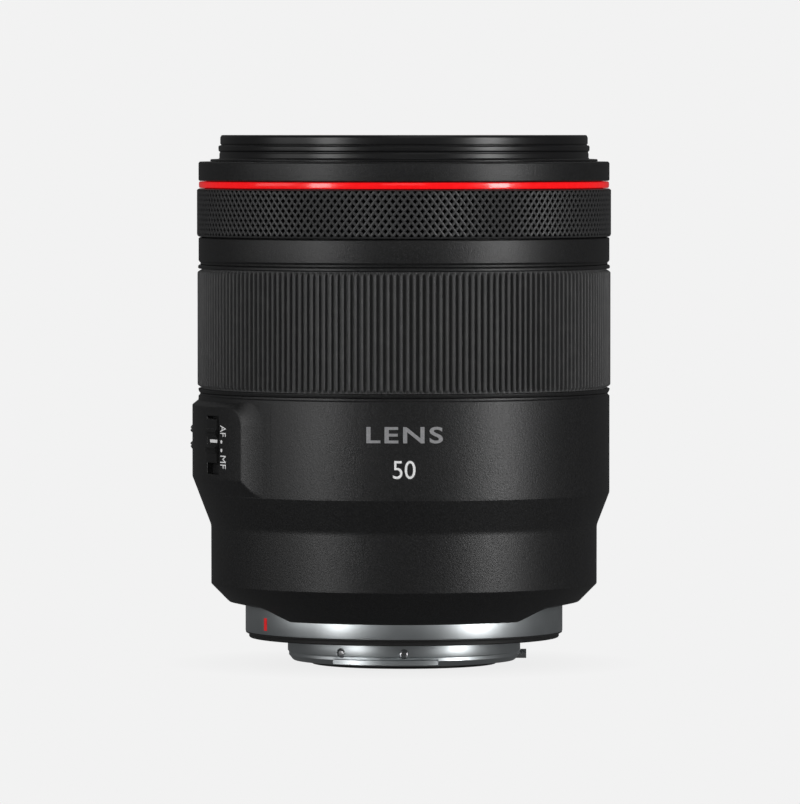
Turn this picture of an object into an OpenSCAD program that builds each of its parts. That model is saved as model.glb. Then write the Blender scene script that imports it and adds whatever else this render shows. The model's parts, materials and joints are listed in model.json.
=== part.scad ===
// Autofocus prime camera lens, 50 mm, very wide aperture, bayonet mount.
// Millimetres. The origin is the centre of the bayonet seat plane, on the
// optical axis. +Z runs to the front element. -Y is the side that carries the
// focal length figures. Angles called "th" are turned from -Y about +Z.

/* [Overall] */
// Length from the bayonet seat plane to the front rim
total_h = 108; // [107.8:0.1:108.4]
// Radius of the smooth barrel bands
band_r = 44.56; // [44.4:0.02:44.7]
// Radius of the rear barrel
rear_r = 44.6; // [44.5:0.02:44.7]
// Radius of the waist behind the rear barrel
waist_r = 41.85; // [41.6:0.05:42.0]

/* [Front ring] */
// Minor radius of the filter thread (M77)
filter_r = 38.09; // [38.0:0.01:38.15]
// Length of the filter thread
filter_len = 4; // [3:0.1:4.2]
// Radius of the hood bayonet track
hood_r = 40.27; // [40.1:0.01:40.3]

/* [Control ring] */
// Radius over the knurl of the control ring, the widest ring
control_r = 44.9; // [44.6:0.05:45.2]
// Rows of the knurl
knurl_rows = 9; // [6:1:10]
// Click stops in one turn of the control ring
clicks = 48; // [24:12:72]

/* [Focus ring] */
// Radius over the rubber grip
grip_r = 44.8; // [44.6:0.05:45.0]
// Radius over the smooth rims of the focus ring
rim_r = 44.66; // [44.5:0.02:44.8]

/* [Switches] */
// Radius of the raised switch panel
panel_r = 45.93; // [45.6:0.01:46.0]
// Radius over the switch knobs
knob_r = 46.6; // [46.4:0.05:46.6]
// Travel of each switch
switch_travel = 1.9; // [1.2:0.1:1.9]

/* [Mount] */
// Radius of the metal mount ring
mount_r = 34.43; // [34.2:0.01:34.45]
// Radius of the bayonet spigot
spigot_r = 25.25; // [25.1:0.01:25.3]
// Radius over the bayonet lugs
lug_r = 26.6; // [26.3:0.05:26.7]
// Electrical contacts
contact_count = 12; // [8:1:12]

/* [Focus drive] */
// Travel of the moving lens group from infinity to the nearest distance
focus_travel = 8; // [5:0.5:8]
// Turn of the cam barrel for that travel
cam_turn = 36; // [30:1:40]

/* [Iris] */
// Turn of each blade from fully open to the smallest stop
blade_turn = 40; // [20:2:42]
// Thickness of a blade
blade_t = 0.1; // [0.06:0.01:0.1]

/* [Hidden] */
$fn = 96;

body_black = [0.11, 0.11, 0.115];
shell_black = [0.06, 0.06, 0.065];
glass_tint = [0.55, 0.68, 0.72, 0.5];
alloy = [0.62, 0.63, 0.64];

// Angles of the two switches, the motor and the cam rollers
mode_th = -63.5;
limit_th = -97.5;
// Lower end of the knobs and of their slots
knob_z = 37.6;
slot_z = knob_z - switch_travel - 0.5;
motor_a = 200;
roller_a = [30, 150, 270];
roller_z = 54;

// Iris layout
pivot_r = 27.3;
pin_off = 3.4;
pin_a = 60;
blade_z = 42.62;
blade_step = 0.13;

// Iris gear pair
gear_m = 0.35;
ring_teeth = 178;
pinion_teeth = 10;
pressure_a = 25;
ring_pitch_r = gear_m * ring_teeth / 2;
pinion_pitch_r = gear_m * pinion_teeth / 2;
motor_r = ring_pitch_r + pinion_pitch_r;

// ---------- shared shapes ----------
module rev(p) { rotate_extrude() polygon(p); }

module tube(ro, ri, z0, z1) {
  translate([0, 0, z0]) difference() {
    cylinder(r = ro, h = z1 - z0);
    translate([0, 0, -1]) cylinder(r = ri, h = z1 - z0 + 2);
  }
}

// Sector of space between two angles from -Y, under 120 degrees wide
module sector(t0, t1, z0, z1, R = 62) {
  tm = (t0 + t1) / 2;
  translate([0, 0, z0]) linear_extrude(z1 - z0)
    polygon([[0, 0], [R * sin(t0), -R * cos(t0)], [R * sin(tm), -R * cos(tm)],
             [R * sin(t1), -R * cos(t1)]]);
}

module at_th(th, r, z) { rotate([0, 0, th]) translate([0, -r, z]) children(); }

// Cylinder along a radius, at angle th from -Y
module radial(th, r0, r1, z, rr) {
  rotate([0, 0, th]) translate([0, -r0, z]) rotate([90, 0, 0])
    cylinder(r = rr, h = r1 - r0);
}

// Glass element with spherical faces. A positive radius has its centre
// towards -Z. zf and zr are the vertices of the front and the rear face.
function sag(R, r) = let(A = abs(R)) sign(R) * (A - sqrt(A * A - r * r));
function face(z, R, a, n = 10) = [for (i = [0:n]) let(r = a * i / n) [r, z - sag(R, r)]];
function flip(v) = [for (i = [len(v) - 1:-1:0]) v[i]];
module glass(zf, zr, Rf, Rr, a) {
  color(glass_tint) rev(concat(face(zf, Rf, a), flip(face(zr, Rr, a))));
}

// Pan head screw along +Z: the shank starts at z0, the head ends at z1
module screw_up(z0, z1, rs, rh, hh) {
  difference() {
    union() {
      translate([0, 0, z0]) cylinder(r = rs, h = z1 - hh - z0 + 0.01, $fn = 32);
      translate([0, 0, z1 - hh]) cylinder(r = rh, h = hh, $fn = 32);
    }
    for (a = [0, 90]) rotate([0, 0, a])
      translate([-rh * 0.6, -rh * 0.13, z1 - hh * 0.55]) cube([rh * 1.2, rh * 0.26, hh]);
  }
}
module screw_down(z0, z1, rs, rh, hh) { translate([0, 0, z0 + z1]) mirror([0, 0, 1]) screw_up(z0, z1, rs, rh, hh); }

// ---------- outer shells ----------
module front_ring() {
  z = total_h;
  color(body_black) rev([
    [37.6, 99.55], [39.55, 99.55], [39.55, 102.3], [42.0, 102.3],
    [42.0, 102.65], [41.85, 102.8], [hood_r, 102.8], [hood_r, 104.15],
    [hood_r - 0.25, 104.3], [hood_r, 104.45], [hood_r, 105.7],
    [39.6, 105.8], [39.6, 105.95], [39.84, 106.05], [39.84, z - 0.4],
    [39.5, z], [filter_r + 0.3, z], [filter_r, z - 0.3],
    [filter_r, z - filter_len], [37.6, z - filter_len - 0.4]]);
}

module front_barrel() {
  color(body_black) rev([
    [39.9, 90], [41.1, 90], [41.1, 98.05], [band_r - 0.25, 98.05],
    [band_r, 98.3], [band_r, 101.95], [band_r - 0.3, 102.25],
    [39.6, 102.25], [39.6, 99.5], [37.6, 99.5], [37.6, 97.0], [39.9, 97.0]]);
}

module accent_ring() {
  color([0.72, 0.03, 0.05]) rev([
    [42.85, 96.55], [44.3, 96.55], [44.5, 96.75], [44.5, 97.75],
    [44.3, 97.95], [42.85, 97.95]]);
}

// The knurl is a stack of V rows here
module control_ring() {
  z0 = 86.1;
  z1 = 96.3;
  p = (z1 - z0 - 0.6) / knurl_rows;
  rows = [for (i = [0:knurl_rows - 1]) for (k = [0, 1])
    k == 0 ? [control_r - 0.55, z0 + 0.3 + i * p] : [control_r, z0 + 0.3 + (i + 0.5) * p]];
  color(body_black) difference() {
    rev(concat([[42.85, z0], [control_r - 0.55, z0]], rows,
      [[control_r - 0.55, z1 - 0.3], [control_r - 0.55, z1], [42.85, z1]]));
    for (i = [0:clicks - 1])
      at_th(180 + i * 360 / clicks, 42.3, 86.6) cylinder(r = 1.15, h = 2.8, $fn = 24);
  }
}

module mid_barrel() {
  color(body_black) difference() {
    rev([
      [40.9, 50], [42.3, 50], [42.3, 80.45], [band_r - 0.35, 80.45],
      [band_r, 80.8], [band_r, 85.6], [band_r - 0.25, 85.85], [42.8, 85.85],
      [42.8, 98.0], [41.2, 98.0], [41.2, 84.0], [40.9, 83.7]]);
    radial(180, 40, 44, 88, 1.05);
  }
}

module focus_ring() {
  color(body_black) rev([
    [42.35, 52.25], [rim_r - 0.2, 52.25], [rim_r, 52.45], [rim_r, 53.15],
    [43.6, 53.15], [43.6, 79.1], [rim_r, 79.1], [rim_r, 79.75],
    [rim_r - 0.2, 79.95], [42.35, 79.95]]);
}

module focus_grip() {
  color([0.05, 0.05, 0.05]) rev([
    [43.65, 53.2], [grip_r - 0.2, 53.2], [grip_r, 53.4], [grip_r, 78.85],
    [grip_r - 0.2, 79.05], [43.65, 79.05]]);
}

// The lower edge drops at the front and the back and steps up at the sides
module chin_cut() {
  for (s = [0, 1]) mirror([s, 0, 0]) rotate([90, 0, 0]) translate([0, 0, -50])
    linear_extrude(100) polygon([[22.6, 3.0], [30.6, 6.8], [50, 6.8], [50, 3.0]]);
}

module rear_barrel() {
  color(body_black) difference() {
    union() {
      rev([
        [25.5, 6.85], [34.5, 6.85], [34.5, 3.7], [34.58, 3.7], [38.3, 6.8],
        [waist_r, 10.8], [waist_r, 23.6], [rear_r, 30.65], [rear_r, 51.45],
        [rear_r - 0.3, 51.75], [42.35, 51.75], [42.35, 50.2], [42.8, 50.2],
        [42.8, 30.9], [42.0, 30.9], [40.1, 24], [40.1, 19.95], [37.6, 19.95],
        [37.6, 18], [40.0, 18], [40.0, 12], [37.5, 9.5], [25.5, 9.5]]);
      for (a = [0, 120, 240]) at_th(a + 30, 35.5, 9) cylinder(r = 1.7, h = 4.4, $fn = 32);
    }
    chin_cut();
    // windows for the stems of the two switches
    for (t = [mode_th, limit_th]) at_th(t, 44, knob_z + 4.8 - switch_travel / 2)
      cube([4.0, 6, 4.6 + switch_travel], center = true);
    for (a = [0, 120, 240]) {
      at_th(a + 30, 35.5, 9.4) cylinder(r = 0.7, h = 6, $fn = 24);
      at_th(a, 38.7, 17) cylinder(r = 0.7, h = 4, $fn = 24);
    }
    for (a = [45:90:315]) at_th(a, 30, 6) cylinder(r = 0.9, h = 4, $fn = 24);
  }
}

module switch_panel() {
  k = (rear_r - 41.87) / 7.05;
  color(body_black) difference() {
    intersection() {
      rev([
        [rear_r + 0.05, 31.4], [rear_r + k * 0.75, 31.4],
        [panel_r, 30.65 + (panel_r - rear_r) / k], [panel_r, 49.65],
        [panel_r - 1.05, 50.7], [rear_r + 0.05, 50.7]]);
      sector(-113.4, -49.3, 30, 52);
    }
    for (t = [mode_th, limit_th]) sector(t - 3.6, t + 3.6, slot_z, 47.8);
  }
}

// Knob with four cross teeth, a stem through the barrel and a slide plate inside
module switch_knob(th) {
  z0 = knob_z;
  z1 = z0 + 9.6;
  zm = (z0 + z1) / 2;
  b = knob_r - 0.45;
  union() {
    intersection() {
      rev([
        [44.85, z0], [b - 0.3, z0], [b, z0 + 0.3], [b, zm - 2.7], [knob_r, zm - 2.4],
        [knob_r, zm - 2.2], [knob_r - 0.24, zm - 1.9], [knob_r, zm - 1.6],
        [knob_r, zm - 1.3], [b - 0.15, zm - 0.6], [b - 0.15, zm + 0.6],
        [knob_r, zm + 1.3], [knob_r, zm + 1.6], [knob_r - 0.24, zm + 1.9],
        [knob_r, zm + 2.2], [knob_r, zm + 2.4], [b, zm + 2.7], [b, z1 - 0.3],
        [b - 0.3, z1], [44.85, z1]]);
      sector(th - 3.3, th + 3.3, z0 - 1, z1 + 1);
    }
    at_th(th, 43.75, zm) cube([3.4, 3.0, 4.0], center = true);
    intersection() {
      tube(42.6, 42.0, zm - 3.5, zm + 3.5);
      sector(th - 4.4, th + 4.4, zm - 5, zm + 5);
    }
  }
}
module focus_mode_switch() { color(shell_black) switch_knob(mode_th); }
module limiter_switch() { color(shell_black) switch_knob(limit_th); }

// ---------- bayonet end ----------
module mount_ring() {
  color(alloy) difference() {
    union() {
      rev([
        [spigot_r, 0.9], [spigot_r, -3.85], [24.97, -3.85], [24.97, -4.7],
        [24.1, -5.65], [23.9, -5.8], [23.6, -5.5], [23.6, 0.75],
        [24.7, 0.75], [24.7, 6.8], [mount_r, 6.8], [mount_r, 0.7],
        [mount_r - 0.5, 0.2], [33.8, 0.2], [33.8, 1.2], [32.95, 1.2],
        [32.95, 0], [27.0, 0], [27.0, 0.9]]);
      for (s = [[-36.2, 17.2], [110, 160], [-158, -110]]) intersection() {
        rev([[23.8, -5.6], [lug_r - 0.2, -5.6], [lug_r, -5.4], [lug_r, -4.55],
             [lug_r - 0.2, -4.35], [23.8, -4.35]]);
        sector(s[0], s[1], -7, -3);
      }
    }
    for (a = [45:90:315]) {
      at_th(a, 30, -1) cylinder(r = 0.95, h = 9, $fn = 24);
      at_th(a, 30, -1) cylinder(r = 1.75, h = 2.3, $fn = 32);
    }
    // socket for the camera's locking pin
    at_th(115, 29.9, -1) cylinder(r = 1.6, h = 3, $fn = 32);
    radial(90, 23, 28, -4.6, 1.05);
    for (t = [0, -32.5]) radial(t, 23, 28, -3.15, 1.05);
  }
}

module mount_screws() {
  color([0.75, 0.75, 0.76]) for (a = [45:90:315])
    at_th(a, 30, 0) screw_down(0.12, 9.0, 0.85, 1.65, 1.1);
}

module mount_gasket() {
  color([0.04, 0.04, 0.04]) rev([
    [33.0, 1.1], [33.0, -0.7], [33.15, -0.9], [33.5, -0.9], [33.67, -0.7],
    [33.67, 0.1], [33.75, 0.2], [33.75, 1.1]]);
}

module stop_pin() { color([0.8, 0.8, 0.8]) radial(90, 23.8, 26.55, -4.6, 1.0); }

module bayonet_screws() {
  color([0.75, 0.75, 0.76]) for (t = [0, -32.5]) difference() {
    radial(t, 23.8, 25.2, -3.15, 1.0);
    rotate([0, 0, t]) translate([-0.7, -25.6, -3.25]) cube([1.4, 0.8, 0.2]);
  }
}

module contact_block() {
  color(shell_black) intersection() {
    rev([[20.45, -5.1], [20.65, -5.3], [23.3, -5.3], [23.5, -5.1], [23.5, 0.6], [20.45, 0.6]]);
    sector(149, 211, -6, 1);
  }
}

module contact_pins() {
  color([0.86, 0.66, 0.25]) for (i = [0:contact_count - 1])
    at_th(180 + (i - (contact_count - 1) / 2) * 4.7, 22, -5.6) difference() {
      translate([-0.55, -0.8, 0]) cube([1.1, 1.6, 0.25]);
      translate([0, 0, -1]) cylinder(r = 0.2, h = 1.12, $fn = 16);
    }
}

module rear_baffle() {
  color(shell_black) difference() {
    rev([
      [16.6, -6.65], [20.0, -6.65], [20.3, -6.35], [20.3, -1.4], [23.4, -1.4],
      [23.4, -0.6], [19.35, -0.6], [19.35, -5.9], [16.6, -5.9]]);
    intersection() {
      tube(30, 20.3, -2, 0);
      sector(147, 213, -3, 1);
    }
    for (a = [-75, 0, 75]) at_th(a, 21.9, -3) cylinder(r = 0.7, h = 3, $fn = 24);
  }
}

// Identical small screws of the baffle, the guide barrel and the board
module case_screws() {
  color([0.7, 0.7, 0.72]) {
    for (a = [-75, 0, 75]) at_th(a, 21.9, 0) screw_down(-2.2, 1.9, 0.62, 1.05, 0.75);
    for (a = [0, 120, 240]) at_th(a, 38.7, 0) screw_up(18.75, 22.85, 0.62, 1.05, 0.75);
    for (a = [0, 120, 240]) at_th(a + 30, 35.5, 0) screw_up(11.4, 15.5, 0.62, 1.05, 0.75);
  }
}

module rear_cell() {
  color(shell_black) difference() {
    rev([
      [16.9, -5.0], [19.25, -5.0], [19.25, 0.8], [24.6, 0.8], [24.6, 2.3],
      [19.3, 2.3], [19.0, 3.0], [18.05, 3.0], [18.05, -2.68], [17.55, -2.68],
      [17.55, -3.95], [16.9, -3.95]]);
    translate([-5, 20.5, 0]) cube([10, 6, 3]);
    for (a = [-75, 0, 75]) at_th(a, 21.9, 0) cylinder(r = 0.7, h = 2.2, $fn = 24);
  }
}

module rear_doublet() {
  glass(4, 0.6, 100, -300, 18);
  glass(0.58, -0.8, -300, 90, 18);
}
module rear_element() { glass(-1.8, -4.6, 150, -200, 17.5); }

// ---------- electronics ----------
module main_board() {
  color([0.05, 0.28, 0.16]) difference() {
    union() {
      tube(37.3, 25.5, 13.5, 14.7);
      for (c = [[0, 6, 6, 1.2], [60, 5, 4, 1.0], [105, 4, 4, 1.4],
                [-50, 7, 5, 1.2], [-100, 4, 3, 1.0], [135, 3, 5, 1.6]])
        at_th(c[0], 31.5, 14.6) translate([-c[1] / 2, -c[2] / 2, 0]) cube([c[1], c[2], c[3]]);
    }
    for (a = [0, 120, 240]) at_th(a + 30, 35.5, 13) cylinder(r = 0.7, h = 2, $fn = 24);
  }
}

module flex_cable() {
  color([0.75, 0.4, 0.1]) union() {
    translate([-4, 23.6, 0.8]) cube([8, 0.25, 12.05]);
    translate([-4, 23.6, 12.6]) cube([8, 6.4, 0.25]);
    translate([-4.5, 26.5, 12.6]) cube([9, 3.5, 0.85]);
  }
}

// ---------- focus drive ----------
module guide_barrel() {
  color(alloy) difference() {
    rev([[36.3, 20], [39.8, 20], [39.8, 22], [37.5, 22], [37.5, 80], [36.3, 80]]);
    for (a = roller_a) rotate([0, 0, a]) {
      for (z = [roller_z, roller_z + focus_travel])
        translate([35, 0, z]) rotate([0, 90, 0]) cylinder(r = 1.56, h = 4, $fn = 32);
      translate([35, -1.56, roller_z]) cube([4, 3.12, focus_travel]);
    }
    for (a = [0, 120, 240]) at_th(a, 38.7, 19) cylinder(r = 0.7, h = 4, $fn = 24);
  }
}

module usm_housing() {
  color(alloy) difference() {
    rev([[39.2, 31.0], [42.7, 31.0], [42.7, 32.2], [39.2, 32.2]]);
    for (a = [20:120:260]) rotate([0, 0, a]) translate([41.6, 0, 30]) cylinder(r = 0.6, h = 4, $fn = 24);
  }
}

// Wavy ring: a plain ring with raised pads on alternate sides
module wave_spring() {
  color([0.5, 0.5, 0.52]) union() {
    tube(41.4, 39.6, 32.7, 33.0);
    for (a = [0:60:300]) intersection() {
      tube(41.4, 39.6, a % 120 == 0 ? 32.9 : 32.3, a % 120 == 0 ? 33.4 : 32.8);
      sector(a - 6, a + 6, 32, 34);
    }
  }
}

module piezo_ring() { color([0.83, 0.8, 0.7]) tube(41.5, 39.4, 33.5, 34.3); }

module usm_stator() {
  color([0.72, 0.6, 0.3]) difference() {
    rev([[39.3, 34.35], [41.7, 34.35], [41.7, 39.3], [39.9, 39.3], [39.3, 38.7]]);
    for (a = [0:15:165]) rotate([0, 0, a]) translate([-50, -0.3, 36.8]) cube([100, 0.6, 4]);
  }
}

module usm_rotor() {
  color([0.66, 0.66, 0.68]) rev([
    [38.85, 39.4], [41.7, 39.4], [41.7, 41.4], [41.3, 43], [38.85, 43]]);
}

// The slots climb focus_travel while the barrel turns by cam_turn
module cam_barrel() {
  n = 7;
  k = focus_travel / cam_turn;
  slope = atan(focus_travel / (38.2 * cam_turn * PI / 180));
  seg = 38.2 * cam_turn * PI / 180 / n / cos(slope);
  color([0.45, 0.45, 0.47]) difference() {
    tube(38.8, 37.55, 24.5, 78);
    for (a = roller_a) {
      for (i = [0:n - 1]) rotate([0, 0, a - (i + 0.5) * cam_turn / n])
        translate([38.2, 0, roller_z + (i + 0.5) * k * cam_turn / n])
          rotate([-slope, 0, 0]) cube([4, seg + 0.25, 3.2], center = true);
      for (e = [0, 1]) rotate([0, 0, a - e * cam_turn])
        translate([36.5, 0, roller_z + e * focus_travel]) rotate([0, 90, 0])
          cylinder(r = 1.62, h = 4, $fn = 32);
    }
  }
}

module cam_rollers() {
  color([0.8, 0.72, 0.45]) for (a = roller_a) rotate([0, 0, a])
    translate([0, 0, roller_z]) rotate([0, 90, 0]) union() {
      translate([0, 0, 34.7]) cylinder(r = 0.8, h = 2, $fn = 32);
      translate([0, 0, 36.25]) cylinder(r = 1.5, h = 2.5, $fn = 32);
    }
}

// ---------- moving lens group ----------
module front_cell() {
  color(shell_black) difference() {
    rev([
      [34.6, 48], [36.2, 48], [36.2, 82], [37.3, 82.7], [37.3, 96],
      [34.5, 96], [34.5, 89.25], [32.05, 89.25], [32.05, 85.62],
      [29.55, 85.62], [29.55, 66.2], [28.5, 66.2], [28.5, 65], [34.6, 65]]);
    for (a = roller_a) rotate([0, 0, a]) translate([33, 0, roller_z]) rotate([0, 90, 0])
      cylinder(r = 0.85, h = 5, $fn = 32);
  }
}

module name_ring() {
  color(shell_black) rev([
    [31.9, 89.35], [34.4, 89.35], [34.4, 96.05], [37.25, 96.05],
    [37.25, 98.3], [36.95, 98.6], [33.6, 98.6], [31.9, 90.6]]);
}

module front_element() { glass(98, 87, 62, 400, 32); }
module front_doublet() {
  glass(86, 76, 70, -180, 29.5);
  glass(75.98, 74, -180, 60, 29.5);
}
module third_element() { glass(72, 64, 45, 200, 25); }
module stop_doublet() {
  glass(61.5, 55, 80, -120, 21);
  glass(54.98, 53, -120, 35, 21);
}

module stop_cell() {
  color(shell_black) rev([
    [20.3, 45.2], [34.5, 45.2], [34.5, 64.9], [33.2, 64.9], [33.2, 49],
    [26.8, 49], [26.8, 64.9], [25.05, 64.9], [25.05, 62.35], [23.5, 62.35],
    [23.5, 60], [21.05, 60], [21.05, 45.95], [20.3, 45.95]]);
}

module relay_cell() {
  color(shell_black) difference() {
    rev([
      [19.55, 4.4], [21.5, 4.4], [22.6, 5.5], [22.6, 39.9], [32.8, 39.9],
      [32.8, 41.4], [20.55, 41.4], [20.55, 24], [20.05, 24], [20.05, 19.0],
      [19.2, 19.0], [19.2, 12.45], [19.55, 12.45]]);
    rotate([0, 0, motor_a]) translate([motor_r, 0, 38]) cylinder(r = 3.25, h = 5, $fn = 48);
  }
}
module relay_triplet() {
  glass(35, 33, -40, 90, 20.5);
  glass(32.98, 25, 90, -50, 20.5);
  glass(24.98, 23, -50, -200, 20.5);
}
module relay_element() { glass(22, 16, 120, -60, 20); }
module relay_doublet() {
  glass(15, 9.5, 70, -90, 19.5);
  glass(9.48, 7.8, -90, 60, 19.5);
}

// ---------- iris ----------
function rot2(a, p) = [p[0] * cos(a) - p[1] * sin(a), p[0] * sin(a) + p[1] * cos(a)];
// Drive pin in the frame of the drive ring, after the ring has turned by f
function slot_at(f) = rot2(-f, [pivot_r, 0] + pin_off * [cos(pin_a + 2 * f), sin(pin_a + 2 * f)]);
function unit2(v) = v / norm(v);

module iris_housing() {
  color(shell_black) difference() {
    union() {
      tube(32.8, 20.2, 41.5, 45.1);
      rotate([0, 0, motor_a]) translate([motor_r, 0, 41.5]) cylinder(r = 3.1, h = 3.6, $fn = 64);
    }
    translate([0, 0, 42.5]) cylinder(r = 31.6, h = 5);
    rotate([0, 0, motor_a]) translate([motor_r, 0, 42.5]) cylinder(r = 2.2, h = 5, $fn = 48);
    rotate([0, 0, motor_a]) translate([motor_r, 0, 41]) cylinder(r = 0.6, h = 5, $fn = 24);
    for (i = [0:9]) rotate([0, 0, 36 * i]) translate([pivot_r, 0, 41])
      cylinder(r = 0.65, h = 3, $fn = 24);
  }
}

// Half angle of an involute tooth at radius r
function inv_a(a) = tan(a) * 180 / PI - a;
function half_a(N, r, slack) = let(p = gear_m * N / 2, b = p * cos(pressure_a))
  90 / N - slack / p * 180 / PI + inv_a(pressure_a) - inv_a(acos(min(1, b / max(r, b))));
function tooth(N, r0, r1, slack, n = 5) = concat(
  [for (i = [0:n]) let(r = r0 + (r1 - r0) * i / n, h = half_a(N, r, slack)) [r * cos(-h), r * sin(-h)]],
  [for (i = [n:-1:0]) let(r = r0 + (r1 - r0) * i / n, h = half_a(N, r, slack)) [r * cos(h), r * sin(h)]]);

module drive_slot() {
  n = 8;
  w = 0.62;
  f1 = blade_turn / 2;
  c = [for (i = [0:n]) slot_at(f1 * i / n)];
  t = [for (i = [0:n]) unit2(slot_at(f1 * i / n + 0.2) - slot_at(f1 * i / n - 0.2))];
  translate([0, 0, 43]) linear_extrude(3) polygon(concat(
    [for (i = [0:n]) c[i] + w * [-t[i][1], t[i][0]]],
    [for (i = [n:-1:0]) c[i] - w * [-t[i][1], t[i][0]]]));
  for (e = [c[0], c[n]]) translate([e[0], e[1], 43]) cylinder(r = w + 0.01, h = 3, $fn = 24);
}

module iris_drive_ring() {
  k0 = -floor(blade_turn / 2 / (360 / ring_teeth)) - 3;
  color([0.55, 0.56, 0.58]) difference() {
    union() {
      tube(30.7, 25.6, 44.1, 45.1);
      rotate([0, 0, motor_a]) translate([0, 0, 44.1]) linear_extrude(1)
        for (k = [k0:3]) rotate(k * 360 / ring_teeth)
          polygon(tooth(ring_teeth, 30.5, ring_pitch_r + 0.8 * gear_m, 0.03));
    }
    for (i = [0:9]) rotate([0, 0, 36 * i]) drive_slot();
  }
}

module iris_pinion() {
  color([0.85, 0.7, 0.35]) rotate([0, 0, motor_a]) translate([motor_r, 0, 0]) union() {
    translate([0, 0, 44.1]) linear_extrude(1) union() {
      circle(r = pinion_pitch_r - gear_m, $fn = 32);
      for (k = [0:9]) rotate(18 + 36 * k)
        polygon(tooth(pinion_teeth, 1.2, pinion_pitch_r + 0.8 * gear_m, 0.03));
    }
    translate([0, 0, 39]) cylinder(r = 0.5, h = 5.5, $fn = 24);
  }
}

module iris_motor() {
  color([0.7, 0.7, 0.7]) rotate([0, 0, motor_a]) translate([motor_r, 0, 0]) difference() {
    union() {
      translate([0, 0, 28]) cylinder(r = 3.1, h = 13, $fn = 48);
      translate([0, 0, 26.8]) cylinder(r = 1.5, h = 1.5, $fn = 32);
    }
    translate([0, 0, 38.5]) cylinder(r = 0.55, h = 5, $fn = 24);
  }
}

module iris_blade(i) {
  z = blade_z + blade_step * i;
  color([0.16, 0.16, 0.17]) rotate([0, 0, 36 * i]) union() {
    translate([0, 0, z]) linear_extrude(blade_t) union() {
      intersection() {
        difference() {
          circle(r = 25.4);
          circle(r = 20.4);
        }
        polygon([[0, 0], 40 * [cos(-5), sin(-5)], 40 * [cos(40), sin(40)],
                 40 * [cos(75), sin(75)], 40 * [cos(100), sin(100)]]);
      }
      polygon([[24.6, -1.9], [28.2, -1.0], [29.9, 2.5], [29.4, 3.8],
               [28.2, 3.8], [24.4, 2.6]]);
    }
    translate([pivot_r, 0, 41.65]) cylinder(r = 0.6, h = z + 0.05 - 41.65, $fn = 24);
    translate([pivot_r + pin_off * cos(pin_a), pin_off * sin(pin_a), z + 0.05])
      cylinder(r = 0.5, h = 45.0 - z - 0.05, $fn = 24);
  }
}
module iris_blade_01() { iris_blade(0); }
module iris_blade_02() { iris_blade(1); }
module iris_blade_03() { iris_blade(2); }
module iris_blade_04() { iris_blade(3); }
module iris_blade_05() { iris_blade(4); }
module iris_blade_06() { iris_blade(5); }
module iris_blade_07() { iris_blade(6); }
module iris_blade_08() { iris_blade(7); }
module iris_blade_09() { iris_blade(8); }
module iris_blade_10() { iris_blade(9); }

// ---------- click stop ----------
module detent_ball() { color([0.8, 0.8, 0.82]) translate([0, 42.2, 88]) sphere(r = 1.0, $fn = 48); }
module detent_spring() {
  color([0.7, 0.68, 0.6]) intersection() {
    tube(41.15, 40.95, 86.4, 89.6);
    sector(171, 189, 85, 91);
  }
}

front_ring();
front_barrel();
accent_ring();
control_ring();
mid_barrel();
focus_ring();
focus_grip();
rear_barrel();
switch_panel();
focus_mode_switch();
limiter_switch();
mount_ring();
mount_screws();
mount_gasket();
stop_pin();
bayonet_screws();
contact_block();
contact_pins();
rear_baffle();
case_screws();
rear_cell();
rear_doublet();
rear_element();
main_board();
flex_cable();
guide_barrel();
usm_housing();
wave_spring();
piezo_ring();
usm_stator();
usm_rotor();
cam_barrel();
cam_rollers();
front_cell();
name_ring();
front_element();
front_doublet();
third_element();
stop_doublet();
stop_cell();
iris_housing();
iris_drive_ring();
iris_pinion();
iris_motor();
iris_blade_01();
iris_blade_02();
iris_blade_03();
iris_blade_04();
iris_blade_05();
iris_blade_06();
iris_blade_07();
iris_blade_08();
iris_blade_09();
iris_blade_10();
relay_cell();
relay_triplet();
relay_element();
relay_doublet();
detent_ball();
detent_spring();
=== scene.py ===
import json
import math

import bmesh
import bpy
import numpy as np
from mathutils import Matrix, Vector


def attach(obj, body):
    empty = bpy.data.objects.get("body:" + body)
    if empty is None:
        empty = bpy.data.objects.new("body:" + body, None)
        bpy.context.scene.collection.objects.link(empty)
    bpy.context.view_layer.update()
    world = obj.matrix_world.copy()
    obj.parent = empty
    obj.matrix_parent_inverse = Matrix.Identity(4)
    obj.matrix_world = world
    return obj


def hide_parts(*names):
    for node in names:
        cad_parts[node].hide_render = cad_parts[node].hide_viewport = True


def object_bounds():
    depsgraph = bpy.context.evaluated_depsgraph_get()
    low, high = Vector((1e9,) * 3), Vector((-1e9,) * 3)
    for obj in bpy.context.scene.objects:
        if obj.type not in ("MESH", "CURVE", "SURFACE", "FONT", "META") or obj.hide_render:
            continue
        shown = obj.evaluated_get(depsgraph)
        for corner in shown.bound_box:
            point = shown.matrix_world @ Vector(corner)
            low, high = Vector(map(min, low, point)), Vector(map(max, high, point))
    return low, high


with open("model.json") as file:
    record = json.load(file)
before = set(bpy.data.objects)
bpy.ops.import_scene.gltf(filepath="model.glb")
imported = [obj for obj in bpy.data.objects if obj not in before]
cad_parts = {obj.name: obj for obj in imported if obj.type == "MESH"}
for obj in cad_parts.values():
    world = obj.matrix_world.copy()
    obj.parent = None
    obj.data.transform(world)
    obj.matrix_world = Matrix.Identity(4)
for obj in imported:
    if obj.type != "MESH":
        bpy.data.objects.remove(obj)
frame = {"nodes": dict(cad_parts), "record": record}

CAD_LO, CAD_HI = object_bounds()
TAU = 2 * math.pi
NODES = frame["nodes"]
BODY_OF = {n: b for b, ns in frame["record"]["behaviour"]["bodies"].items() for n in ns}


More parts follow.
